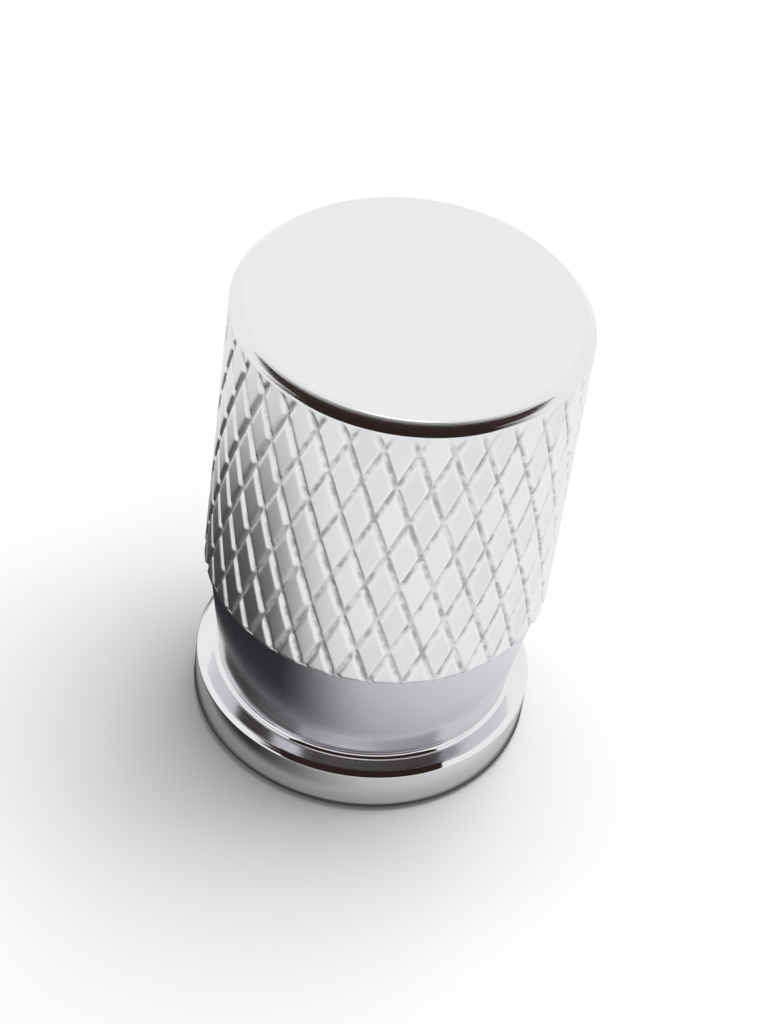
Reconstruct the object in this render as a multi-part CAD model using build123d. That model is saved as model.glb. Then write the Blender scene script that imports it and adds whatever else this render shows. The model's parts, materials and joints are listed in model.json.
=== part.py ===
from build123d import *
import os
from math import ceil, degrees, pi, radians, tan

# Tyre valve cap: one piece turned from bar, with a diamond-knurled grip, a tapered neck, a mouth flange
# and a blind hole for the valve's thread. It stands on its mouth, with the closed head up.
# Lengths are in millimetres and angles in degrees. The origin is the centre of the mouth.

# Hole for the valve's thread, left at the tapping drill's size, with a recess at the mouth
TAP_DRILL_DIA = 7.0
DRILL_POINT_ANGLE = 118.0
LEAD_IN_ANGLE = 90.0
RECESS_STEP = 0.75
RECESS_DEPTH = 1.0
MOUTH_CHAMFER = 0.1

# Turned outside
HEIGHT = 16.5
HEAD_THICK = 2.4
HEAD_CHAMFER = 0.38
HEAD_EDGE_FILLET = 0.15
GRIP_FOOT_CHAMFER = 0.1
NECK_WALL = 1.2
NECK_LENGTH = 4.15
NECK_FOOT_FILLET = 0.15
FLANGE_LEDGE = 0.75
FLANGE_THICK = 1.75
FLANGE_CHAMFER = 0.15

# Diamond knurl: V grooves wound both ways round the grip
KNURL_DIA = 11.0
KNURL_PITCH = 1.05
KNURL_DEPTH = 0.11
KNURL_HELIX_ANGLE = 21.0
KNURL_V_ANGLE = 120.0
NECK_BELOW_GROOVES = 0.03

# Sizes that follow from those above
drill_r = TAP_DRILL_DIA / 2
drill_point = drill_r / tan(radians(DRILL_POINT_ANGLE / 2))
drill_depth = HEIGHT - HEAD_THICK - drill_point
recess_r = drill_r + RECESS_STEP
lead_in = RECESS_STEP / tan(radians(LEAD_IN_ANGLE / 2))
neck_foot_r = drill_r + NECK_WALL
flange_r = neck_foot_r + FLANGE_LEDGE
knurl_r = KNURL_DIA / 2
knurl_foot = FLANGE_THICK + NECK_LENGTH
groove_r = knurl_r - KNURL_DEPTH
neck_top_r = groove_r - NECK_BELOW_GROOVES
head_r = knurl_r - HEAD_CHAMFER


def corner(section, r, z):
    """The corner of a half section that lies at radius r and height z."""
    return section.vertices().sort_by_distance((r, z))[0]


def half_section():
    """Half of the cap's section: radius along X and height along Y, up the outside and down the hole."""
    outline = Polyline(
        (recess_r, 0),
        (flange_r, 0),
        (flange_r, FLANGE_THICK),
        (neck_foot_r, FLANGE_THICK),
        (neck_top_r, knurl_foot),
        (knurl_r, knurl_foot),
        (knurl_r, HEIGHT - HEAD_CHAMFER),
        (head_r, HEIGHT),
        (0, HEIGHT),
        (0, drill_depth + drill_point),
        (drill_r, drill_depth),
        (drill_r, RECESS_DEPTH + lead_in),
        (recess_r, RECESS_DEPTH),
        close=True,
    )
    section = make_face(outline)
    section = chamfer(corner(section, recess_r, 0), MOUTH_CHAMFER)
    section = chamfer(corner(section, flange_r, 0), FLANGE_CHAMFER)
    section = chamfer(corner(section, flange_r, FLANGE_THICK), FLANGE_CHAMFER)
    section = chamfer(corner(section, knurl_r, knurl_foot), GRIP_FOOT_CHAMFER)
    section = fillet(corner(section, neck_foot_r, FLANGE_THICK), NECK_FOOT_FILLET)
    return fillet(corner(section, head_r, HEIGHT), HEAD_EDGE_FILLET)


def knurl_cutter(hand, section_every=15.0):
    """One V groove of the knurl as a solid, wound right (hand 1) or left (hand -1).

    It stands a little proud of the grip, outside and past both ends, so that the grooves run out over the
    head's chamfer and over the neck. A section at each few degrees of turn keeps it a true helix.
    """
    proud = KNURL_DEPTH / 2
    outer_r = knurl_r + proud
    half_width = (outer_r - groove_r) * tan(radians(KNURL_V_ANGLE / 2))
    vee = make_face(Polyline((groove_r, 0), (outer_r, half_width), (outer_r, -half_width), close=True))
    start = knurl_foot - proud
    length = HEIGHT + proud - start
    turn = degrees(length * tan(radians(KNURL_HELIX_ANGLE)) / knurl_r)
    spans = ceil(turn / section_every)
    stations = [k / spans for k in range(spans + 1)]
    return loft([Pos(0, 0, start + length * s) * Rot(0, 0, hand * turn * s) * vee for s in stations])


def knurled(blank):
    """The blank with its grip cut by evenly spaced grooves of both hands."""
    starts = round(pi * KNURL_DIA / KNURL_PITCH)
    for hand in (1, -1):
        cutter = knurl_cutter(hand)
        blank = blank.cut(*[Rot(0, 0, 360 * k / starts) * cutter for k in range(starts)])
    return blank


blank = revolve(Plane.XZ * half_section(), Axis.Z)
valve_cap = knurled(blank)

os.makedirs("parts", exist_ok=True)
export_step(valve_cap, "parts/valve_cap.step")
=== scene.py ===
# %% [markdown]
# # A knurled tyre valve cap
# The cap is one small piece of bright aluminium, turned from bar: a flat head, a diamond-knurled grip, a
# plain neck that tapers to a flange, and a tapped hole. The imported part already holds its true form, so it
# is loaded first, as the fixed frame. Everything below is in metres and in that same frame.

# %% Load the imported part
import json
from math import ceil, cos, hypot, pi, radians, sin, tan

import bmesh
import bpy
from mathutils import Matrix, Vector

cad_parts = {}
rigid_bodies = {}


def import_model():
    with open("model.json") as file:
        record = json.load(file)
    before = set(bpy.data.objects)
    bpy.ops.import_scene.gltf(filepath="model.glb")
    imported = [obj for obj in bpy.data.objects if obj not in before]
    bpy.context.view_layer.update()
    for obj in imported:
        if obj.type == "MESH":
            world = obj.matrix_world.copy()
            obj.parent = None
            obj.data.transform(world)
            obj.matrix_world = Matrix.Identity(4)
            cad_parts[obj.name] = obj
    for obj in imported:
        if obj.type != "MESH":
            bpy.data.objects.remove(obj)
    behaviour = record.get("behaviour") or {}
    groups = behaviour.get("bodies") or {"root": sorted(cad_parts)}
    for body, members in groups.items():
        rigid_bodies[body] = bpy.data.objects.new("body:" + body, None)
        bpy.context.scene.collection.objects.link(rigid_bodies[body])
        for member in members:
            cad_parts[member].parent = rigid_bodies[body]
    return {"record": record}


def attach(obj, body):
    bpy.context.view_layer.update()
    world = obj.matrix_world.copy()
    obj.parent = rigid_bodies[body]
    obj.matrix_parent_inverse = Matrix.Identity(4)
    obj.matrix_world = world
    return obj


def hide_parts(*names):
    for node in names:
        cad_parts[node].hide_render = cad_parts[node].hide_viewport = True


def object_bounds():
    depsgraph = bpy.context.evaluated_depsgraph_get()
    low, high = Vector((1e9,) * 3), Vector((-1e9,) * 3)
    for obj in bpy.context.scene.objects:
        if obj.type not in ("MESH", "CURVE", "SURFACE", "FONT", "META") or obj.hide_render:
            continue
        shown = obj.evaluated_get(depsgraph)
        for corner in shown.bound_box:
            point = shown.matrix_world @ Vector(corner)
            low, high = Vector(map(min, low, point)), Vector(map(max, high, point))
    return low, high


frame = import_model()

MM = 0.001
TAU = 2 * pi
cad_low, cad_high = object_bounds()
print("packed part:", [round(side / MM, 3) for side in cad_high - cad_low], "mm")

# %% [markdown]
# ## Sizes
# The overall sizes and the hole come from the frame, so this script follows the part. The smaller sizes of
# the section are named here once. Edges on a turned part are never razor sharp, and a small round is what
# catches a line of light, so each edge also gets a radius.

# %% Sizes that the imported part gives
mounts = {mount["name"]: mount for mount in frame["record"]["mounts"]}
HEIGHT = cad_high.z
GRIP_R = cad_high.x
DRILL_R = mounts["valve_thread"]["dims"]["r_mm"] * MM
print("height, grip and hole:", [round(size / MM, 3) for size in (HEIGHT, 2 * GRIP_R, 2 * DRILL_R)], "mm")

# %% Sizes of the half section
HEAD_THICK = 2.4 * MM
HEAD_CHAMFER = 0.38 * MM
HEAD_EDGE_ROUND = 0.15 * MM
GRIP_FOOT = 5.9 * MM
GRIP_FOOT_CHAMFER = 0.1 * MM
NECK_TOP_R = 5.36 * MM
NECK_FOOT_R = 4.7 * MM
NECK_FOOT_FILLET = 0.15 * MM
FLANGE_R = 5.45 * MM
FLANGE_THICK = 1.75 * MM
FLANGE_CHAMFER = 0.15 * MM
FLANGE_FOOT_ROUND = 0.35 * MM
RECESS_R = 4.25 * MM
RECESS_DEPTH = 1.0 * MM
MOUTH_CHAMFER = 0.1 * MM
EDGE_ROUND = 0.05 * MM
FINE_ROUND = 0.02 * MM
chamfer_foot = HEIGHT - HEAD_CHAMFER
side_foot = GRIP_FOOT + GRIP_FOOT_CHAMFER
print("grip from", round(GRIP_FOOT / MM, 2), "to", round(chamfer_foot / MM, 2), "mm above the table")

# %% [markdown]
# ## The half section
# A lathe only ever needs half of the outline. It is drawn from the centre of the head, down the outside and
# round to the mouth, as corners that each have a radius. A Bevel modifier could round them later, but it
# would also round the knurl, so `rounded` puts an arc on each corner of the outline itself, with one extra
# point just before and after it, so that smooth shading stays flat on the flats.

# %% Rows of the neck, the flange and the mouth
HOLD = 0.03 * MM
ARC_STEPS = 4


def rounded(corners):
    """The points of an outline of (radius, height, rounding) corners, with an arc on each inner corner."""
    points = [Vector(corners[0][:2])]
    for before, here, after in zip(corners, corners[1:], corners[2:]):
        corner = Vector(here[:2])
        rounding = here[2]
        back = (Vector(before[:2]) - corner).normalized()
        ahead = (Vector(after[:2]) - corner).normalized()
        half_angle = back.angle(ahead) / 2
        reach = rounding / tan(half_angle)
        centre = corner + (back + ahead).normalized() * rounding / sin(half_angle)
        start = corner + back * reach - centre
        sweep = start.angle_signed(corner + ahead * reach - centre)
        points.append(centre + start + back * HOLD)
        for step in range(ARC_STEPS + 1):
            points.append(centre + Matrix.Rotation(-sweep * step / ARC_STEPS, 2) @ start)
        points.append(corner + ahead * (reach + HOLD))
    points.append(Vector(corners[-1][:2]))
    return [(point.x, point.y) for point in points]


foot_rows = rounded([
    (GRIP_R - GRIP_FOOT_CHAMFER, GRIP_FOOT, 0),
    (NECK_TOP_R, GRIP_FOOT, FINE_ROUND),
    (NECK_FOOT_R, FLANGE_THICK, NECK_FOOT_FILLET),
    (FLANGE_R - FLANGE_CHAMFER, FLANGE_THICK, FINE_ROUND),
    (FLANGE_R, FLANGE_THICK - FLANGE_CHAMFER, EDGE_ROUND),
    (FLANGE_R, 0, FLANGE_FOOT_ROUND),
    (RECESS_R + MOUTH_CHAMFER, 0, EDGE_ROUND),
    (RECESS_R, MOUTH_CHAMFER, EDGE_ROUND),
    (RECESS_R, RECESS_DEPTH, 0),
])[1:]
print("neck, flange and mouth:", len(foot_rows), "rows")

# %% [markdown]
# A real chamfer is never dead flat, and the head's is crowned by a few thousandths of a millimetre. Each
# place on it then mirrors a small range of heights, so a dark card can show there as a crescent. On the
# flat of the head a few wide rings are enough, and near the centre many columns can share a point.

# %% Rows of the head
CHAMFER_CROWN = 0.006 * MM
CHAMFER_CROWN_R = 3.5 * MM
HEAD_RINGS = {0: 16, 1.2 * MM: 16, 3 * MM: 4}  # radius of a ring: how many columns share a point there

mid_chamfer = HEAD_CHAMFER / 2 - CHAMFER_CROWN
head_edge = rounded([
    (0, HEIGHT, 0),
    (GRIP_R - HEAD_CHAMFER, HEIGHT, HEAD_EDGE_ROUND),
    (GRIP_R - mid_chamfer, HEIGHT - mid_chamfer, CHAMFER_CROWN_R),
    (GRIP_R, chamfer_foot, EDGE_ROUND),
    (GRIP_R, side_foot, 0),
])[1:-1]
head_rows = [(radius, HEIGHT) for radius in HEAD_RINGS] + head_edge
print("head:", len(head_rows), "rows")

# %% [markdown]
# The grip is the part that matters, because its rows of points have to follow the knurl. When each row is
# turned by half a column from the row below, the grid's own edges run along both sets of grooves, and every
# groove gets a clean bottom. That fixes the height of a row.

# %% Rows of the grip
GROOVES = 33
GROOVE_DEPTH = 0.11 * MM
GROOVE_V_ANGLE = 90
HELIX_ANGLE = 21
COLUMNS_PER_GROOVE = 16
COLUMNS = COLUMNS_PER_GROOVE * GROOVES
ROW_MARGIN = 0.4

groove_turn = tan(radians(HELIX_ANGLE)) / GRIP_R
groove_zero = GRIP_FOOT - GROOVE_DEPTH / 2
row_height = pi / (COLUMNS * groove_turn)


def grip_rows(low, high):
    """Heights between low and high that lie on the knurl's own rows."""
    first = ceil((low - groove_zero) / row_height + ROW_MARGIN)
    last = int((high - groove_zero) / row_height - ROW_MARGIN)
    return [groove_zero + row * row_height for row in range(last, first - 1, -1)]


side_rows = [(GRIP_R, z) for z in [*grip_rows(side_foot, head_edge[-1][1]), side_foot]]
side_rows.append((GRIP_R - GRIP_FOOT_CHAMFER, GRIP_FOOT))
print("grip:", len(side_rows), "rows of", COLUMNS, "columns")
print("grooves:", round(TAU * GRIP_R / GROOVES / MM, 2), "mm apart")

# %% [markdown]
# ## A small helper for node trees
# Geometry Nodes and shader nodes are built from Python here, and a formula made of Math nodes is long to
# wire by hand. `Wire` stands for one value in a tree. Adding or multiplying wires adds the Math node that
# does it, so the rules below read like sums.

# %% Wires and nodes
class Wire:
    """One output socket of a node tree, with sums that add Math nodes to the tree."""

    def __init__(self, tree, socket):
        self.tree = tree
        self.socket = socket

    def math(self, operation, *others):
        return add_node(self.tree, "ShaderNodeMath", self, *others, operation=operation)

    def __add__(self, other):
        return self.math("ADD", other)

    def __sub__(self, other):
        return self.math("SUBTRACT", other)

    def __rsub__(self, other):
        return add_node(self.tree, "ShaderNodeMath", other, self, operation="SUBTRACT")

    def __mul__(self, other):
        return self.math("MULTIPLY", other)

    def __truediv__(self, other):
        return self.math("DIVIDE", other)


def add_node(tree, kind, *values, out=0, **settings):
    """Adds a node, fills its inputs in order (None leaves one alone) and returns one of its outputs."""
    node = tree.nodes.new(kind)
    for name, value in settings.items():
        setattr(node, name, value)
    for socket, value in zip(node.inputs, values):
        if isinstance(value, Wire):
            tree.links.new(value.socket, socket)
        elif value is not None:
            socket.default_value = value
    return Wire(tree, node.outputs[out])


def split(tree, vector):
    """The X, Y and Z of a vector, as three wires."""
    node = add_node(tree, "ShaderNodeSeparateXYZ", vector).socket.node
    return [Wire(tree, socket) for socket in node.outputs]


def from_whole(count):
    """How far a count lies from the nearest whole number, so 0 to a half."""
    return count.math("PINGPONG", 0.5)


# %% Groups with named sockets
def new_group(name, kind, inputs, outputs):
    """A node group with named sockets: the tree, its inputs as wires, and its output node."""
    tree = bpy.data.node_groups.new(name, kind)
    for in_out, sockets in (("INPUT", inputs), ("OUTPUT", outputs)):
        for label, socket_type in sockets.items():
            tree.interface.new_socket(label, in_out=in_out, socket_type="NodeSocket" + socket_type)
    entry = tree.nodes.new("NodeGroupInput")
    given = {label: Wire(tree, entry.outputs[label]) for label in inputs}
    print(name + ":", len(inputs), "inputs")
    return tree, given, tree.nodes.new("NodeGroupOutput")


def put_out(output, wires):
    """Links named wires to the input sockets of a node, such as a tree's output."""
    for label, wire in wires.items():
        wire.tree.links.new(wire.socket, output.inputs[label])


def wheel_point(tree, radius, angle, height):
    """The point at that radius, angle and height about the cap's axis."""
    x = radius * angle.math("COSINE")
    y = radius * angle.math("SINE")
    return add_node(tree, "ShaderNodeCombineXYZ", x, y, height)


def end_tree(tree, geometry, given, output):
    """Closes a grid's seam, shades it smooth and ends its tree in Realize Instances and Set Material."""
    geometry = add_node(tree, "GeometryNodeMergeByDistance", geometry, None, given["Merge Distance"])
    geometry = add_node(tree, "GeometryNodeSetShadeSmooth", geometry)
    geometry = add_node(tree, "GeometryNodeRealizeInstances", geometry)
    geometry = add_node(tree, "GeometryNodeSetMaterial", geometry, None, given["Finish"])
    put_out(output, {"Geometry": geometry})
    print(tree.name + ":", len(tree.nodes), "nodes")


# %% [markdown]
# ## Spinning and knurling, as Geometry Nodes
# One tree turns a half section into a solid of revolution: a grid has one column of points for each step
# round the axis and one row for each point of the section, and each grid point looks up its row. A Screw
# modifier spins a section too, but it can't turn each row by half a column, which the knurl needs.

# %% The tree that spins and knurls
spin, given, spin_out = new_group("spin_and_knurl", "GeometryNodeTree", {
    "Half Section": "Geometry",
    "Columns": "Int",
    "Grip Radius": "Float",
    "Grooves": "Int",
    "Groove Depth": "Float",
    "Groove Slope": "Float",
    "Turn per Metre": "Float",
    "Groove Zero": "Float",
    "Crest Round": "Float",
    "Root Round": "Float",
    "Merge Distance": "Float",
    "Finish": "Material",
}, {"Geometry": "Geometry"})
section = given["Half Section"]
columns = given["Columns"]
rows = add_node(spin, "GeometryNodeAttributeDomainSize", section)
index = add_node(spin, "GeometryNodeInputIndex")
column = (index / rows).math("FLOOR")
row = index - column * rows


def row_value(name):
    """A named number of the half section, looked up for each grid point's row."""
    stored = add_node(spin, "GeometryNodeInputNamedAttribute", name)
    return add_node(spin, "GeometryNodeSampleIndex", section, stored, row)


place = add_node(spin, "GeometryNodeInputPosition")
place = add_node(spin, "GeometryNodeSampleIndex", section, place, row, data_type="FLOAT_VECTOR")
radius, _, height = split(spin, place)
step = row_value("column_step")
column = (column / step + 0.5).math("FLOOR") * step
turn = (height - given["Groove Zero"]).math("MAXIMUM", 0.0) * given["Turn per Metre"]
angle = column / columns * TAU + turn

# %% [markdown]
# On rows marked as knurled, the same tree presses in the grooves, as two knurling wheels of opposite hand
# do. A point's distance from the nearest groove of each hand gives a V-shaped cut with a blunt bottom, a
# smooth maximum rounds its upper edges, and the deeper of the two cuts wins.

# %% The grooves and the skin
groove_pitch = given["Grip Radius"] * TAU / given["Grooves"]


def groove_cut(around):
    """How deep the grooves of one hand cut at an angle measured along them."""
    gap = from_whole(around * given["Grooves"] / TAU) * groove_pitch
    blunt = given["Root Round"]
    flank = ((gap * gap + blunt * blunt).math("SQRT") - blunt) / given["Groove Slope"]
    return (given["Groove Depth"] - flank).math("SMOOTH_MAX", 0.0, given["Crest Round"])


cut = groove_cut(angle - turn).math("MAXIMUM", groove_cut(angle + turn)) * row_value("knurled")
radius = radius.math("MINIMUM", given["Grip Radius"] - cut)
skin = add_node(spin, "GeometryNodeMeshGrid", 1.0, 1.0, columns + 1, rows)
skin = add_node(spin, "GeometryNodeSetPosition", skin, None, wheel_point(spin, radius, angle, height))
skin = add_node(spin, "GeometryNodeTriangulate", skin, quad_method="FIXED")
end_tree(spin, skin, given, spin_out)

# %% [markdown]
# ## The thread, as Geometry Nodes
# A thread is a section wound along a helix, so its grid is wound too: each column of points starts a
# little higher than the one before, and after a full turn it has climbed one pitch and meets the row above.
# Heights are held between the mouth and the thread's end. The cone of the mouth cuts the first turns away,
# and the last turns run out to the plain hole, as a tap leaves them.

# %% The tree that winds the thread
wind, given, wind_out = new_group("wind_thread", "GeometryNodeTree", {
    "Geometry": "Geometry",
    "Columns": "Int",
    "Rows per Turn": "Int",
    "Turns": "Int",
    "Pitch": "Float",
    "Minor Radius": "Float",
    "Major Radius": "Float",
    "Mouth Radius": "Float",
    "Thread Start": "Float",
    "Thread End": "Float",
    "Run Out": "Float",
    "Merge Distance": "Float",
    "Finish": "Material",
}, {"Geometry": "Geometry"})
TOOTH_FLAT = 0.2

columns = given["Columns"]
rows = given["Rows per Turn"] * given["Turns"] + 1
index = add_node(wind, "GeometryNodeInputIndex")
column = (index / rows).math("FLOOR")
turns_up = (index - column * rows) / given["Rows per Turn"]
share = column / columns
climbed = (turns_up - 1 + share) * given["Pitch"] + given["Thread Start"]
height = climbed.math("MAXIMUM", given["Thread Start"]).math("MINIMUM", given["Thread End"])
tooth = from_whole(turns_up) * 2 * (1 + 2 * TOOTH_FLAT) - TOOTH_FLAT
tooth = tooth.math("MAXIMUM", 0.0).math("MINIMUM", 1.0)
fade = ((given["Thread End"] - height) / given["Run Out"]).math("MINIMUM", 1.0)
radius = given["Minor Radius"] + (given["Major Radius"] - given["Minor Radius"]) * tooth * fade
radius = radius.math("MAXIMUM", given["Mouth Radius"] + given["Thread Start"] - height)
wall = add_node(wind, "GeometryNodeMeshGrid", 1.0, 1.0, columns + 1, rows)
wall = add_node(wind, "GeometryNodeSetPosition", wall, None, wheel_point(wind, radius, share * TAU, height))
end_tree(wind, wall, given, wind_out)

# %% [markdown]
# ## Marks in the metal
# All of the cap is one metal, so its finishes differ in the marks that each tool left, and in painted shade
# and painted highlights on the neck and the grip. Those marks are shader node groups, which read Object
# coordinates, so they are as fine on the model as on the real cap.
# A few helpers come first: where a shaded point lies about the axis, a mix, a fade and a noise.

# %% Helpers for shader groups
def object_place(tree):
    """Object coordinates."""
    return add_node(tree, "ShaderNodeTexCoord", out="Object")


def cap_place(tree):
    """The angle, height and radius of a shaded point about the cap's axis."""
    x, y, height = split(tree, object_place(tree))
    return y.math("ARCTAN2", x), height, (x * x + y * y).math("SQRT")


def between(tree, share, low, high, kind="FLOAT"):
    """A number or colour that goes from low to high as share goes from 0 to 1."""
    slot = {"FLOAT": 0, "RGBA": 2}[kind]
    node = add_node(tree, "ShaderNodeMix", share, data_type=kind).socket.node
    for socket, value in zip([entry for entry in node.inputs if entry.enabled][1:], (low, high)):
        tree.links.new(value.socket, socket)
    return Wire(tree, node.outputs[slot])


def fade_out(tree, value, full, none):
    """1 where a value is below full, falling smoothly to 0 where it reaches none."""
    return add_node(tree, "ShaderNodeMapRange", value, full, none, 1.0, 0.0,
                    interpolation_type="SMOOTHSTEP")


def noise(tree, dimensions="3D", **inputs):
    """A noise value from 0 to 1, about a half on average."""
    node = tree.nodes.new("ShaderNodeTexNoise")
    node.noise_dimensions = dimensions
    for name, value in inputs.items():
        if isinstance(value, Wire):
            tree.links.new(value.socket, node.inputs[name])
        else:
            node.inputs[name].default_value = value
    return Wire(tree, node.outputs[0])


# %% [markdown]
# The first group repeats the knurl's rule: it works out how far a point lies from the nearest groove. It
# roughens the bottoms, where the knurling wheel tears the metal, and darkens them with painted shade,
# partly grime too, which comes and goes along a groove. The edges of the diamonds get a painted highlight
# in places, and each diamond has a tone of its own. Painting an image would do it too, but a rule stays
# sharp at any distance.

# %% Groove marks, painted groove shade and painted edge highlights, as a shader group
groove_marks, given, marks_out = new_group("groove_marks", "ShaderNodeTree", {
    "Grip Radius": "Float",
    "Grooves": "Float",
    "Turn per Metre": "Float",
    "Groove Zero": "Float",
    "Groove Top": "Float",
    "Top Fade": "Float",
    "Half Width": "Float",
    "Edge Width": "Float",
    "Patch Size": "Float",
    "Dull Color": "Color",
    "Flat Color": "Color",
    "Edge Color": "Color",
    "Groove Color": "Color",
    "Flat Roughness": "Float",
    "Groove Roughness": "Float",
}, {"Color": "Color", "Roughness": "Float"})
NOISE_MIDDLE = 0.5

around, height, _ = cap_place(groove_marks)
turn = (height - given["Groove Zero"]) * given["Turn per Metre"]
groove_pitch = given["Grip Radius"] * TAU / given["Grooves"]
right, left = [hand * given["Grooves"] / TAU for hand in (around - turn, around + turn)]
gap = from_whole(right).math("MINIMUM", from_whole(left)) * groove_pitch
cell = [hand.math("FLOOR").math("FLOORED_MODULO", given["Grooves"]) for hand in (right, left)]
cell = add_node(groove_marks, "ShaderNodeCombineXYZ", *cell)
chance = add_node(groove_marks, "ShaderNodeTexWhiteNoise", cell, noise_dimensions="2D")
patch_scale = given["Patch Size"].math("POWER", -1.0)
patches = noise(groove_marks, Vector=object_place(groove_marks), Scale=patch_scale, Detail=2.0)
reach = given["Half Width"] * (patches + NOISE_MIDDLE)
below_top = given["Groove Top"] - height
below_top = add_node(groove_marks, "ShaderNodeMapRange", below_top, 0.0, given["Top Fade"])
in_groove = fade_out(groove_marks, gap, 0.0, reach) * below_top
edge_highlight = fade_out(groove_marks, gap, reach, given["Edge Width"]) * below_top
print("groove_marks: masks made with", len(groove_marks.nodes), "nodes")

# %% Colour and roughness of the grooves
EDGE_HIGHLIGHT_GAIN = 1.6
SHADE_AND_GRIME_FROM = 0.4
SHADE_AND_GRIME_FULL = 0.62
SHADE_AND_GRIME_LEAST = 0.1

# Painted shade in the groove bottoms, partly grime, which comes and goes along a groove.
shade_and_grime = add_node(groove_marks, "ShaderNodeMapRange", patches, SHADE_AND_GRIME_FROM, SHADE_AND_GRIME_FULL, SHADE_AND_GRIME_LEAST, 1.0)
color = between(groove_marks, chance, given["Dull Color"], given["Flat Color"], "RGBA")
# Painted highlight on the diamonds' edges, in patches.
color = between(groove_marks, edge_highlight * patches * EDGE_HIGHLIGHT_GAIN, color, given["Edge Color"], "RGBA")
color = between(groove_marks, in_groove * shade_and_grime, color, given["Groove Color"], "RGBA")
roughness = between(groove_marks, in_groove, given["Flat Roughness"], given["Groove Roughness"])
put_out(marks_out, {"Color": color, "Roughness": roughness})
print("groove_marks:", len(groove_marks.nodes), "nodes")

# %% [markdown]
# A lathe tool leaves fine rings. On a side they lie one above another and on a face one inside another, so
# the second group follows the height or the radius, and noise in one direction gives rings of uneven depth.
# The third group is the fine even grain of a blasted face.

# %% Turned rings and blasted grain, as shader groups
turned_rings, given, rings_out = new_group("turned_rings", "ShaderNodeTree", {
    "On a Face": "Float",
    "Ring Spacing": "Float",
    "Roughness": "Float",
    "Spread": "Float",
}, {"Roughness": "Float", "Height": "Float"})
_, height, radius = cap_place(turned_rings)
across = (height + (radius - height) * given["On a Face"]) / given["Ring Spacing"]
rings = noise(turned_rings, "1D", W=across, Scale=1.0, Detail=3.0, Roughness=0.7)
roughness = given["Roughness"] + (rings - NOISE_MIDDLE) * given["Spread"]
put_out(rings_out, {"Roughness": roughness, "Height": rings})

blasted_grain, given, grain_out = new_group("blasted_grain", "ShaderNodeTree", {
    "Grain Size": "Float",
    "Roughness": "Float",
    "Spread": "Float",
}, {"Roughness": "Float", "Height": "Float"})
grain_scale = given["Grain Size"].math("POWER", -1.0)
grain = noise(blasted_grain, Vector=object_place(blasted_grain), Scale=grain_scale, Detail=2.0)
roughness = given["Roughness"] + (grain - NOISE_MIDDLE) * given["Spread"]
put_out(grain_out, {"Roughness": roughness, "Height": grain})
print("turned_rings:", len(turned_rings.nodes), "nodes; blasted_grain:", len(blasted_grain.nodes), "nodes")

# %% [markdown]
# ## Metal finishes
# Each finish is a Principled shader at full Metallic, with the marks of its own tools. Roughness decides
# how sharp a reflection is, and a Bump node turns the heights into tiny tilts of the surface. The flange
# is turned almost to a mirror, the neck is rougher, darker with painted shade and a little bluer, and the
# hole is as the tap left it.

# %% Head and turned finishes
ALUMINIUM = (0.84, 0.84, 0.85, 1.0)
TURNED = (0.8, 0.8, 0.81, 1.0)
# The neck's darker colour is painted shade; its slight blue is its own.
SHADED_NECK_COLOR = (0.66, 0.665, 0.71, 1.0)
GRAIN_DEPTH = 0.0012 * MM
RING_DEPTH = 0.0008 * MM
RING_SPACING = 0.08 * MM
TAP_DEPTH = 0.001 * MM
TAP_SPACING = 0.06 * MM


def place_group(tree, group, values):
    """A node for a group in a material, with its named inputs filled."""
    node = tree.nodes.new("ShaderNodeGroup")
    node.node_tree = group
    for label, value in values.items():
        node.inputs[label].default_value = value
    return node


def metal(name, color, marks, mark_depth, mark_sizes):
    """A bare metal finish, with a group's marks pressed in to mark_depth."""
    material = bpy.data.materials.new(name)
    material.use_nodes = True
    tree = material.node_tree
    shader = tree.nodes["Principled BSDF"]
    shader.inputs["Base Color"].default_value = color
    shader.inputs["Metallic"].default_value = 1.0
    group = place_group(tree, marks, mark_sizes)
    bump = tree.nodes.new("ShaderNodeBump")
    bump.inputs["Distance"].default_value = mark_depth
    tree.links.new(group.outputs["Height"], bump.inputs["Height"])
    tree.links.new(bump.outputs["Normal"], shader.inputs["Normal"])
    tree.links.new(group.outputs["Roughness"], shader.inputs["Roughness"])
    print("finish:", name)
    return material


def turned(name, color, roughness, spread, on_a_face=0.0, depth=RING_DEPTH, spacing=RING_SPACING):
    """A turned finish, with rings that lie one above another, or one inside another on a face."""
    sizes = {"On a Face": on_a_face, "Ring Spacing": spacing, "Roughness": roughness, "Spread": spread}
    return metal(name, color, turned_rings, depth, sizes)


satin_head = metal("satin_head", ALUMINIUM, blasted_grain, GRAIN_DEPTH,
                   {"Grain Size": 0.05 * MM, "Roughness": 0.42, "Spread": 0.1})
turned_side = turned("turned_side", TURNED, roughness=0.07, spread=0.06)
turned_neck = turned("turned_neck", SHADED_NECK_COLOR, roughness=0.2, spread=0.08)
turned_face = turned("turned_face", TURNED, roughness=0.07, spread=0.06, on_a_face=1.0)
tapped_hole = turned("tapped_hole", TURNED, roughness=0.2, spread=0.1, depth=TAP_DEPTH, spacing=TAP_SPACING)

# %% [markdown]
# The grip has a fine grain over all of it, and the groove marks give it its colour, with painted shade in
# the grooves and painted highlights on the diamonds' edges. They also bring their own roughness, whose link
# takes the place of the grain's.

# %% Knurled grip
GRIP_DULL = (0.75, 0.75, 0.77, 1.0)
GRIP_FLAT = (0.83, 0.83, 0.85, 1.0)
# painted highlight on the diamonds' edges
GROOVE_EDGE_HIGHLIGHT = (0.86, 0.86, 0.87, 1.0)
# painted shade in the groove bottoms, partly grime
GROOVE_SHADE_AND_GRIME = (0.42, 0.42, 0.43, 1.0)
GROOVE_FADE = 0.5 * MM

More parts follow.
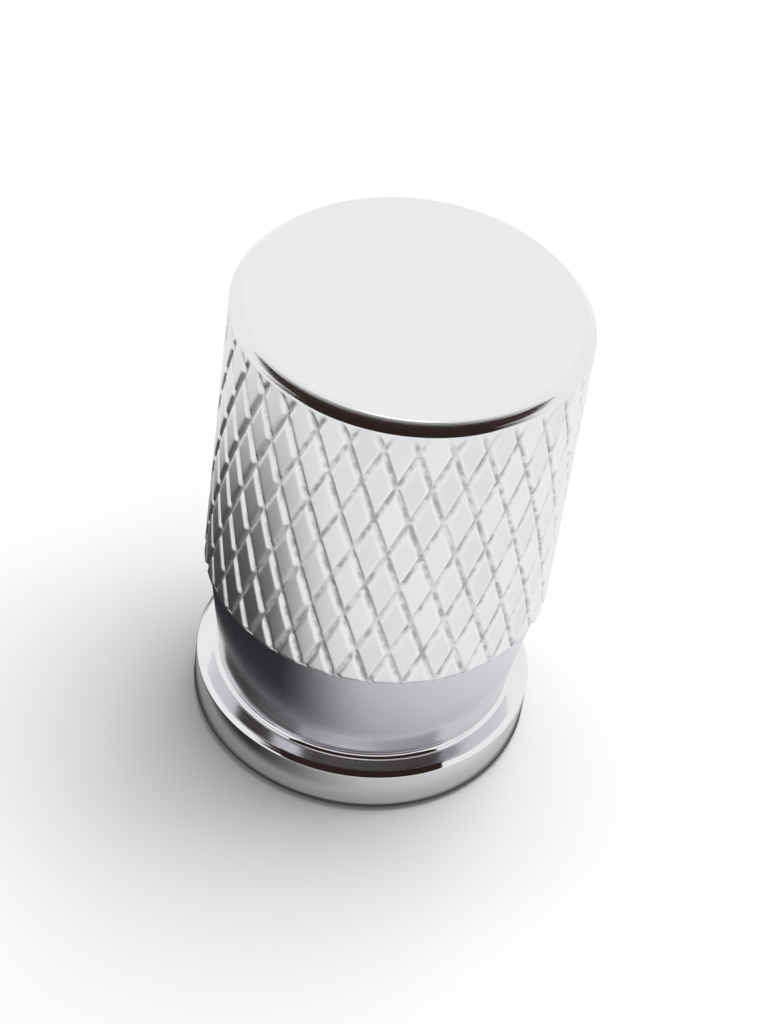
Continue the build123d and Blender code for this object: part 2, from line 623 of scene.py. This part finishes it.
knurled_grip = metal("knurled_grip", GRIP_FLAT, blasted_grain, GRAIN_DEPTH, {"Grain Size": 0.06 * MM})
tree = knurled_grip.node_tree
marks = place_group(tree, groove_marks, {
    "Grip Radius": GRIP_R,
    "Grooves": GROOVES,
    "Turn per Metre": groove_turn,
    "Groove Zero": groove_zero,
    "Groove Top": chamfer_foot,
    "Top Fade": GROOVE_FADE,
    "Half Width": 0.12 * MM,
    "Edge Width": 0.25 * MM,
    "Patch Size": 0.4 * MM,
    "Dull Color": GRIP_DULL,
    "Flat Color": GRIP_FLAT,
    "Edge Color": GROOVE_EDGE_HIGHLIGHT,
    "Groove Color": GROOVE_SHADE_AND_GRIME,
    "Flat Roughness": 0.3,
    "Groove Roughness": 0.45,
})
shader = tree.nodes["Principled BSDF"]
tree.links.new(marks.outputs["Color"], shader.inputs["Base Color"])
tree.links.new(marks.outputs["Roughness"], shader.inputs["Roughness"])
print("knurled_grip:", len(tree.nodes), "nodes")

# %% [markdown]
# ## From trees to plain meshes
# Each tree runs on a small carrier object. Its inputs are set by their identifiers before it is first
# evaluated, and the result is read back as a plain mesh, because what is handed on can't hold a live tree.

# %% Running a tree and reading its mesh back
MERGE = 0.0004 * MM


def section_mesh(name, points, knurled=(), column_step=()):
    """A half section as a chain of edges, with the two numbers that the spinning tree reads for a row."""
    mesh = bpy.data.meshes.new(name)
    chain = [(index, index + 1) for index in range(len(points) - 1)]
    mesh.from_pydata([(radius, 0, height) for radius, height in points], chain, [])
    for label, values, default in (("knurled", knurled, 0.0), ("column_step", column_step, 1.0)):
        stored = mesh.attributes.new(label, "FLOAT", "POINT")
        stored.data.foreach_set("value", list(values) or [default] * len(points))
    return mesh


def run_tree(tree, carrier_mesh, inputs):
    """The plain mesh that a tree makes from a carrier mesh and named inputs."""
    carrier = bpy.data.objects.new(tree.name, carrier_mesh)
    bpy.context.scene.collection.objects.link(carrier)
    modifier = carrier.modifiers.new(tree.name, "NODES")
    modifier.node_group = tree
    for socket in tree.interface.items_tree:
        if socket.item_type == "SOCKET" and socket.in_out == "INPUT" and socket.name in inputs:
            modifier[socket.identifier] = inputs[socket.name]
    evaluated = carrier.evaluated_get(bpy.context.evaluated_depsgraph_get())
    mesh = bpy.data.meshes.new_from_object(evaluated)
    carrier.modifiers.remove(modifier)
    bpy.data.objects.remove(carrier)
    print(tree.name, "made", len(mesh.polygons), "faces")
    return mesh


# %% [markdown]
# The outside is one stretch, from the centre of the head to the top of the mouth's recess. Each row carries
# two numbers: how much of the knurl's depth it has, which runs out just below the head's chamfer, and how
# many columns share a point. The grip and the edges beside it use every column. The middle of the head, the
# neck and the mouth share points, which saves triangles.

# %% The outside
NECK_STEP = 2
HOLE_STEP = 6
CREST_ROUND = 0.06 * MM
ROOT_ROUND = 0.02 * MM


def groove_share(height):
    """The share of its full depth that the knurl has at a height."""
    rise = min(max((chamfer_foot - height) / GROOVE_FADE, 0), 1)
    return rise * rise * (3 - 2 * rise)


upper_rows = head_rows + side_rows
knurl_marks = [groove_share(height) for _, height in upper_rows] + [0.0] * len(foot_rows)
step_marks = [*HEAD_RINGS.values()]
step_marks += [1] * (len(upper_rows) - len(HEAD_RINGS) + 1)
step_marks += [NECK_STEP] * (len(foot_rows) - 2)
step_marks.append(HOLE_STEP)
spin_sizes = {
    "Grip Radius": GRIP_R,
    "Grooves": GROOVES,
    "Groove Depth": GROOVE_DEPTH,
    "Groove Slope": tan(radians(GROOVE_V_ANGLE / 2)),
    "Groove Zero": groove_zero,
    "Crest Round": CREST_ROUND,
    "Root Round": ROOT_ROUND,
    "Merge Distance": MERGE,
}
outside = section_mesh("outside_rows", upper_rows + foot_rows, knurl_marks, step_marks)
outside_sizes = {"Turn per Metre": groove_turn, "Columns": COLUMNS, "Finish": knurled_grip}
skin_mesh = run_tree(spin, outside, {**spin_sizes, **outside_sizes})

# %% [markdown]
# The hole is two more stretches. The valve's thread has 32 turns to the inch, and above it the plain
# drilled hole ends in the cone of the drill's point. Both have as many columns as the last row of the
# outside, so that all three stretches meet point to point.

# %% The thread and the end of the hole
MM_PER_INCH = 25.4
THREADS_PER_INCH = 32
PITCH = MM_PER_INCH / THREADS_PER_INCH * MM
THREAD_LENGTH = 10 * MM
THREAD_DEPTH = 0.42 * MM
THREAD_ROWS = 8
RUN_OUT_TURNS = 1.5
DRILL_POINT_ANGLE = 118

thread_end = RECESS_DEPTH + THREAD_LENGTH
hole_columns = COLUMNS // HOLE_STEP
thread_mesh = run_tree(wind, bpy.data.meshes.new("thread_start"), {
    "Columns": hole_columns,
    "Rows per Turn": THREAD_ROWS,
    "Turns": ceil(THREAD_LENGTH / PITCH) + 1,
    "Pitch": PITCH,
    "Minor Radius": DRILL_R,
    "Major Radius": DRILL_R + THREAD_DEPTH,
    "Mouth Radius": RECESS_R,
    "Thread Start": RECESS_DEPTH,
    "Thread End": thread_end,
    "Run Out": RUN_OUT_TURNS * PITCH,
    "Merge Distance": MERGE,
    "Finish": tapped_hole,
})
point_top = HEIGHT - HEAD_THICK
point_foot = point_top - DRILL_R / tan(radians(DRILL_POINT_ANGLE / 2))
hole_end = rounded([(DRILL_R, thread_end, 0), (DRILL_R, point_foot, EDGE_ROUND), (0, point_top, 0)])
end_sizes = {"Turn per Metre": 0.0, "Columns": hole_columns, "Finish": tapped_hole}
end_mesh = run_tree(spin, section_mesh("hole_end_rows", hole_end), {**spin_sizes, **end_sizes})

# %% [markdown]
# ## One closed body
# The real cap is one solid, so the three stretches become one closed mesh: their shared rings of points are
# merged and the faces are turned outwards. A boolean union could join them too, but it is slow on so many
# faces, and here the rings already match. Each face then takes a finish from where it lies.

# %% Which finish a face takes
FINISHES = {
    "head": satin_head,
    "grip": knurled_grip,
    "side": turned_side,
    "face": turned_face,
    "hole": tapped_hole,
    "neck": turned_neck,
}
CLOSE = EDGE_ROUND / 4
FACE_TILT = 0.8


def finish_of(face):
    """Which finish a face takes, from where its middle lies and which way it points."""
    middle = face.calc_center_median()
    if hypot(middle.x, middle.y) < RECESS_R + CLOSE and middle.z < HEIGHT - HEAD_THICK / 2:
        return "hole"
    if middle.z > HEIGHT - CLOSE:
        return "head"
    if GRIP_FOOT + CLOSE < middle.z < chamfer_foot:
        return "grip"
    if FLANGE_THICK + NECK_FOOT_FILLET < middle.z < GRIP_FOOT:
        return "neck"
    return "face" if abs(face.normal.z) > FACE_TILT else "side"


# %% Joining the stretches
body = bmesh.new()
for stretch in (skin_mesh, thread_mesh, end_mesh):
    body.from_mesh(stretch)
bmesh.ops.remove_doubles(body, verts=body.verts, dist=MERGE)
bmesh.ops.triangulate(body, faces=body.faces)
bmesh.ops.recalc_face_normals(body, faces=body.faces)
slots = {place: slot for slot, place in enumerate(FINISHES)}
for face in body.faces:
    face.material_index = slots[finish_of(face)]
open_edges = sum(1 for edge in body.edges if not edge.is_manifold)
print("closed body:", len(body.faces), "triangles,", open_edges, "open edges")
print("volume:", round(body.calc_volume() / MM**3, 1), "cubic mm")

cap_mesh = bpy.data.meshes.new("valve_cap_body")
body.to_mesh(cap_mesh)
body.free()
for finish in FINISHES.values():
    cap_mesh.materials.append(finish)
cap = bpy.data.objects.new("knurled_cap", cap_mesh)
bpy.context.scene.collection.objects.link(cap)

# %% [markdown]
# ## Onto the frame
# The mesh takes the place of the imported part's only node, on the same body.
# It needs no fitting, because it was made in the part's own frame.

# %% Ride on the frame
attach(cap, "root")
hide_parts("valve_cap")
print(cap.name, "rides on root and replaces valve_cap")

# %% [markdown]
# ## Table
# The cap stands on a plain white table. A matt plane alone would look grey far out, and the metal would
# mirror that grey. So the plane is matt near the cap, where it takes the shadow, and turns into plain white
# further away. The white only counts where the camera sees it, straight or mirrored in the metal, so that
# it doesn't light up the shadow.

# %% Helpers for the studio
scene = bpy.context.scene
scene.view_settings.view_transform = "Standard"
WHITE = (1, 1, 1, 1)


def new_material(name):
    """An empty node material, with its tree and its output node."""
    material = bpy.data.materials.new(name)
    material.use_nodes = True
    material.node_tree.nodes.clear()
    return material, material.node_tree, material.node_tree.nodes.new("ShaderNodeOutputMaterial")


def seen_directly(tree):
    """1 where the camera sees, straight or mirrored in metal, and 0 on rays that only carry light."""
    paths = tree.nodes.new("ShaderNodeLightPath")
    labels = ("Is Camera Ray", "Is Glossy Ray", "Is Transmission Ray", "Diffuse Depth")
    camera_ray, glossy_ray, clear_ray, scattered = [Wire(tree, paths.outputs[label]) for label in labels]
    mirrored = glossy_ray * scattered.math("LESS_THAN", 0.5)
    return camera_ray.math("MAXIMUM", mirrored).math("MAXIMUM", clear_ray)


def level_sheet(half_width, half_depth, centre=(0, 0, 0)):
    """The corners and the face of a level rectangle."""
    x, y, z = centre
    sides = [(-1, -1), (1, -1), (1, 1), (-1, 1)]
    return [(x + across * half_width, y + along * half_depth, z) for across, along in sides], [(0, 1, 2, 3)]


def stage_sheet(name, corners, faces, material):
    """A part of the studio: a plain mesh that is no part of the cap."""
    mesh = bpy.data.meshes.new(name)
    mesh.from_pydata(corners, [], faces)
    mesh.materials.append(material)
    sheet = bpy.data.objects.new(name, mesh)
    scene.collection.objects.link(sheet)
    print("stage:", name, "with", len(faces), "faces")
    return sheet


# %% White table
TABLE_HALF = 2.0
TABLE_COLOR = (0.82, 0.82, 0.82, 1)
TABLE_GLOW = 0.04
MATT_END = 30 * MM
WHITE_START = 120 * MM

paper, tree, output = new_material("white_table")
matt = add_node(tree, "ShaderNodeBsdfDiffuse", TABLE_COLOR)
glow = add_node(tree, "ShaderNodeEmission", WHITE, seen_directly(tree) * TABLE_GLOW)
near = add_node(tree, "ShaderNodeAddShader", matt, glow)
far = add_node(tree, "ShaderNodeEmission", WHITE, seen_directly(tree))
distance = add_node(tree, "ShaderNodeMapRange", cap_place(tree)[2], MATT_END, WHITE_START)
put_out(output, {"Surface": add_node(tree, "ShaderNodeMixShader", distance, near, far)})
stage_sheet("table_top", *level_sheet(TABLE_HALF, TABLE_HALF), paper)

# %% [markdown]
# ## Light
# One large soft lamp, high above the cap and a little behind it and to its right, gives the soft shadow at
# the front left. The room is white where it is seen or mirrored, but dim as a light, so that the shadow
# keeps its depth. The lamp itself is hidden from the camera and from the metal's reflections.

# %% Room and lamp
AMBIENT = 0.25
LAMP_PLACE = (0.09, 0.09, 0.48)
LAMP_SIZE = 0.34
LAMP_POWER = 2.65

world = bpy.data.worlds.new("white_room")
world.use_nodes = True
tree = world.node_tree
background = tree.nodes["Background"]
background.inputs["Color"].default_value = WHITE
put_out(background, {"Strength": seen_directly(tree) * (1 - AMBIENT) + AMBIENT})
scene.world = world

lamp = bpy.data.lights.new("soft_box", "AREA")
lamp.size = LAMP_SIZE
lamp.energy = LAMP_POWER
soft_box = bpy.data.objects.new("soft_box", lamp)
soft_box.location = LAMP_PLACE
to_cap = Vector((0, 0, HEIGHT / 2)) - soft_box.location
soft_box.rotation_euler = to_cap.to_track_quat("-Z", "Y").to_euler()
soft_box.visible_camera = False
soft_box.visible_glossy = False
scene.collection.objects.link(soft_box)
print("lamp:", round(to_cap.length, 2), "m from the cap; room light:", AMBIENT)

# %% [markdown]
# ## Camera
# The photograph looks down on the cap from about 43 degrees, with the cap leaning a little in the picture.
# The camera has the same height, and a roll makes the lean. A long lens keeps the sides nearly straight.

# %% Camera
ELEVATION = radians(43)
ROLL = radians(8.5)
DISTANCE = 100 * MM
LENS = 112
CLIP_START = 10 * MM
TARGET = Vector((0, 0, 8 * MM))

view = Vector((0, -cos(ELEVATION), sin(ELEVATION)))
upright = (-view).to_track_quat("-Z", "Y").to_matrix()
camera_data = bpy.data.cameras.new("camera")
camera_data.lens = LENS
camera_data.clip_start = CLIP_START
camera = bpy.data.objects.new("camera", camera_data)
camera.location = TARGET + view * DISTANCE
camera.rotation_euler = (upright @ Matrix.Rotation(ROLL, 3, "Z")).to_euler()
scene.collection.objects.link(camera)
scene.camera = camera
print("camera at", [round(part / MM, 1) for part in camera.location], "mm")

# %% [markdown]
# ## What the metal mirrors
# Bright metal has little colour of its own: it shows what stands round it, and in an all-white room it
# looks flat. So dark cards stand where the metal should mirror something dark. Real panels would also shade
# the table, and these don't: they show in reflections only. They are fixed in the room, as a photographer's
# cards are, and don't follow the view.

# %% Cards that only reflections show
BAND_STEPS = 48
DARK = (0.03, 0.018, 0.016, 1)


def everywhere(tree):
    """A card that is solid all over and in every reflection."""
    return 1.0


def mirrored_card(name, corners, faces, color, solid=everywhere, strength=1.0):
    """A card that only shows in the metal's reflections; solid says in its node tree how much it covers."""
    material, tree, output = new_material(name)
    clear = add_node(tree, "ShaderNodeBsdfTransparent")
    shine = add_node(tree, "ShaderNodeEmission", color, strength)
    put_out(output, {"Surface": add_node(tree, "ShaderNodeMixShader", solid(tree), clear, shine)})
    card = stage_sheet(name, corners, faces, material)
    card.visible_camera = False
    card.visible_diffuse = False
    card.visible_shadow = False
    card.visible_transmission = False


def about_cap(radius, around, height):
    """A point at an angle about the cap, counted from the front and positive to the right."""
    return Vector((radius * sin(around), -radius * cos(around), height))


def spread_angles(first, last):
    """Evenly spaced angles from first to last, given in degrees."""
    return [radians(first + (last - first) * k / BAND_STEPS) for k in range(BAND_STEPS + 1)]


def band(lower, upper):
    """The corners and faces of a strip between two rows of points."""
    count = len(lower)
    return [*lower, *upper], [(k, k + 1, count + k + 1, count + k) for k in range(count - 1)]


def band_about(first, last, start, end):
    """A strip round the cap, from first to last in degrees, between two (radius, height) rings."""
    angles = spread_angles(first, last)
    lower, upper = [[about_cap(radius, k, height) for k in angles] for radius, height in (start, end)]
    return band(lower, upper)


# %% [markdown]
# The head's chamfer shows a near-black crescent at the front. Its card follows the chamfer's reflection: at
# each angle, the line of sight from the photograph's viewpoint is mirrored in the chamfer, and the card
# lies across that direction, far away. It is deepest in the middle and comes to a point at both ends.

# %% Dark card for the head's chamfer
STRIP_END = 56
STRIP_HALF = tan(radians(7.5))
STRIP_DROP = tan(radians(7))
DROP_END = 32
STRIP_AWAY = 1.5

strip_low = []
strip_high = []
for around in spread_angles(-STRIP_END, STRIP_END):
    on_chamfer = about_cap(GRIP_R - HEAD_CHAMFER / 2, around, HEIGHT - HEAD_CHAMFER / 2)
    facing = about_cap(1, around, 1).normalized()
    to_camera = (camera.location - on_chamfer).normalized()
    mirrored = 2 * to_camera.dot(facing) * facing - to_camera
    lift = Vector((0, 0, STRIP_HALF * (1 - (around / radians(STRIP_END)) ** 2)))
    drop = Vector((0, 0, STRIP_DROP * max(1 - (around / radians(DROP_END)) ** 2, 0)))
    strip_low.append((mirrored - lift - drop).normalized() * STRIP_AWAY)
    strip_high.append((mirrored + lift).normalized() * STRIP_AWAY)
mirrored_card("chamfer_dark", *band(strip_low, strip_high), DARK)

# %% [markdown]
# The flange's top and the neck make a corner, where light is mirrored twice. Light Path's Glossy Depth
# counts the reflections, so the cards for this corner are solid only from the second one on, and the rest
# of the cap hardly shows them. They are two upright walls and two level visors round the cap. The visor in
# front is grey, because the corner is lighter there.

# %% Dark cards for the corner of neck and flange
WALL_R = 19 * MM
WALL_FOOT = 8 * MM
CARD_TOP = HEIGHT - 0.3 * MM
VISOR_NEAR = 11 * MM
VISOR_FAR = 15 * MM
VISOR_GREY = (0.4, 0.4, 0.41, 1)
SECOND_REFLECTION = 1.5  # a limit between the first and the second
walls = {"wall_left": (-84, -50), "wall_right": (-30, 62)}
visors = {"visor_left": (-130, -40, DARK), "visor": (-40, 70, VISOR_GREY)}


def reflections(tree):
    """How many times the metal has mirrored a ray."""
    return Wire(tree, tree.nodes.new("ShaderNodeLightPath").outputs["Glossy Depth"])


def in_corners(tree):
    """A card that is solid from the second reflection on."""
    return reflections(tree).math("GREATER_THAN", SECOND_REFLECTION)


for name, (first, last) in walls.items():
    wall = band_about(first, last, (WALL_R, WALL_FOOT), (WALL_R, CARD_TOP))
    mirrored_card(name, *wall, DARK, in_corners)
for name, (first, last, color) in visors.items():
    visor = band_about(first, last, (VISOR_NEAR, CARD_TOP), (VISOR_FAR, CARD_TOP))
    mirrored_card(name, *visor, color, in_corners)

# %% [markdown]
# The fillet at the neck's foot and the flange's upper chamfer would each draw a white line through that
# dark corner. Their card lies level just above the flange. Backfacing tells which side of it a ray meets, so
# it shows from below, where the fillet looks up at it, and not from above, where the neck looks down on it.

# %% Dark card for the fillet
FILLET_CARD_HEIGHT = 3 * MM
FILLET_CARD_NEAR = 4.93 * MM
FILLET_CARD_FAR = 20 * MM
FILLET_CARD_ENDS = (-28, 42)


def from_below(tree):
    """A level card that is solid in a first reflection and when it is met from below."""
    first = reflections(tree).math("LESS_THAN", SECOND_REFLECTION)
    return first * Wire(tree, tree.nodes.new("ShaderNodeNewGeometry").outputs["Backfacing"])


rings = [(radius, FILLET_CARD_HEIGHT) for radius in (FILLET_CARD_FAR, FILLET_CARD_NEAR)]
mirrored_card("fillet_dark", *band_about(*FILLET_CARD_ENDS, *rings), DARK, from_below)

# %% [markdown]
# The left of the grip and neck gets painted shade, and the flange's foot a painted shadow line where it meets
# the table.
# Both are made as reflections of a darker table: a card lies just over it, with a soft patch at the left and
# rings round the foot. A darker table itself would also show where the camera sees it.

# %% Shade on the table
SHADE_COLOR = (0.03, 0.03, 0.033, 1)
SHADE_HALF = 20 * MM
SHADE_HEIGHT = 0.02 * MM
PATCH_PLACE = (-9.7 * MM, -1.2 * MM, 0)
PATCH_FADE = (6 * MM, 13.5 * MM)
PATCH_CLEAR = (5.9 * MM, 6.5 * MM)
FOOT_RINGS = {  # how solid a ring is: where it is full, and where it ends
    0.12: (FLANGE_R, FLANGE_R + 5 * MM),
    0.35: (5.7 * MM, 6.9 * MM),
    0.9: (5.6 * MM, 5.95 * MM),
}


def table_shade(tree):
    """A soft patch at the cap's left, clear of its foot, and rings of shade round the foot."""
    radius = cap_place(tree)[2]
    away = add_node(tree, "ShaderNodeVectorMath", object_place(tree), PATCH_PLACE,
                    operation="DISTANCE", out="Value")
    shade = fade_out(tree, away, *PATCH_FADE) * (1.0 - fade_out(tree, radius, *PATCH_CLEAR))
    for share, (full, none) in FOOT_RINGS.items():
        shade = shade.math("MAXIMUM", fade_out(tree, radius, full, none) * share)
    return shade


shade_place = (0, 0, SHADE_HEIGHT)
mirrored_card("table_shade", *level_sheet(SHADE_HALF, SHADE_HALF, shade_place), SHADE_COLOR, table_shade)

# %% [markdown]
# The edge of the head has a thin line of light. A lamp there would also light the table, so a bright card
# high in front makes the line, and it too shows in reflections only.

# %% Line of light
GLINT_PLACE = (0, -0.2, 0.42)
GLINT_HALF_WIDTH = 0.12
GLINT_HALF_DEPTH = 0.05
GLINT_STRENGTH = 2.2

glint = level_sheet(GLINT_HALF_WIDTH, GLINT_HALF_DEPTH, GLINT_PLACE)
mirrored_card("glint_card", *glint, WHITE, strength=GLINT_STRENGTH)
